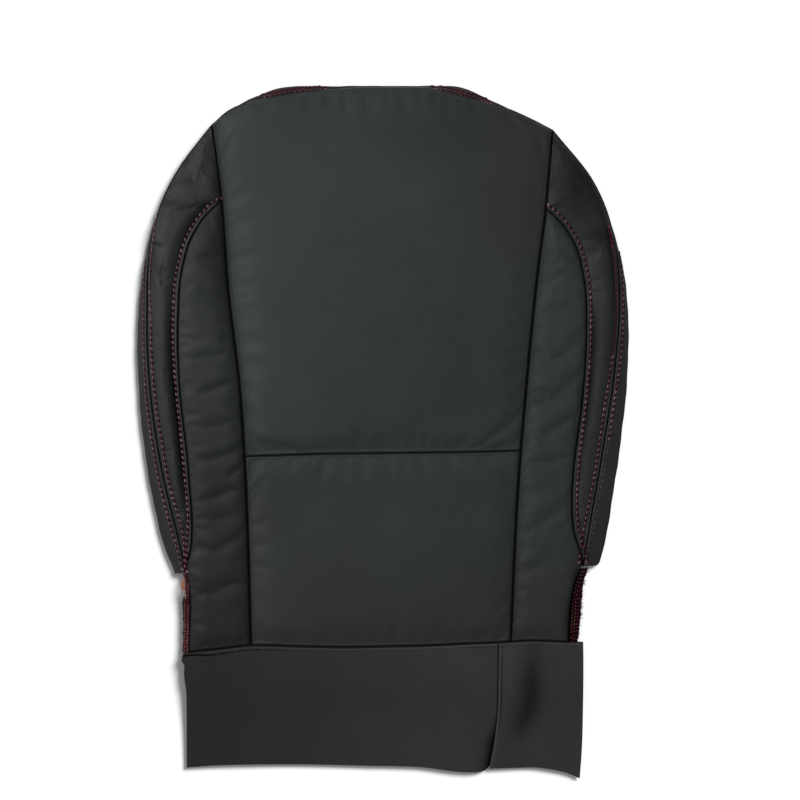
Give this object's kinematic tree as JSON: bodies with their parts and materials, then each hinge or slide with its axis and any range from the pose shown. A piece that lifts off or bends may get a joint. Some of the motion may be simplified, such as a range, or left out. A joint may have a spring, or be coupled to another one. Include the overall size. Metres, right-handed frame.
{
  "type": "seat backrest cover",
  "caption": "Padded leatherette slip cover for a seat backrest, laid flat, with bolster panels, red topstitching, a folded side gusset and a loose tuck flap at the foot.",
  "frame": {"origin": "centre of the outline, on the surface the cover lies on", "axes": "+Z out of the seat face, +Y towards the head end, +X to the right as seen from above"},
  "size_m": [0.5165, 0.7289, 0.0177],
  "materials": {
    "face_leatherette": "satin",
    "gusset_leatherette": "satin",
    "flap_leatherette": "satin",
    "back_leatherette": "satin",
    "pad_foam": "matte",
    "backing_cloth": "matte",
    "raw_edge": "matte",
    "red_thread": "satin"
  },
  "bodies": {
    "cover": {"back_panel": "back_leatherette", "left_bolster_backing": "backing_cloth", "left_bolster_face": "face_leatherette", "left_bolster_foam": "pad_foam", "left_curve_stitching": "red_thread", "left_gusset_stitching": "red_thread", "left_raw_edge": "raw_edge", "left_raw_edge_stitching": "red_thread", "left_side_gusset": "gusset_leatherette", "left_wing_backing": "backing_cloth", "left_wing_face": "face_leatherette", "left_wing_foam": "pad_foam", "lower_centre_backing": "backing_cloth", "lower_centre_face": "face_leatherette", "lower_centre_foam": "pad_foam", "right_bolster_backing": "backing_cloth", "right_bolster_face": "face_leatherette", "right_bolster_foam": "pad_foam", "right_curve_stitching": "red_thread", "right_gusset_stitching": "red_thread", "right_raw_edge": "raw_edge", "right_raw_edge_stitching": "red_thread", "right_side_gusset": "gusset_leatherette", "right_wing_backing": "backing_cloth", "right_wing_face": "face_leatherette", "right_wing_foam": "pad_foam", "top_gusset": "gusset_leatherette", "top_gusset_stitching": "red_thread", "upper_centre_backing": "backing_cloth", "upper_centre_face": "face_leatherette", "upper_centre_foam": "pad_foam"},
    "tuck_flap": {"tuck_flap_main": "flap_leatherette", "tuck_flap_side": "flap_leatherette"}
  },
  "joints": [
    {"name": "flap_fold", "type": "hinge", "parent": "cover", "child": "tuck_flap", "pos_m": [0, -0.2255, 0.014], "axis": [-0.9998, -0.0194, 0], "range_deg": [-90, 150]}
  ]
}
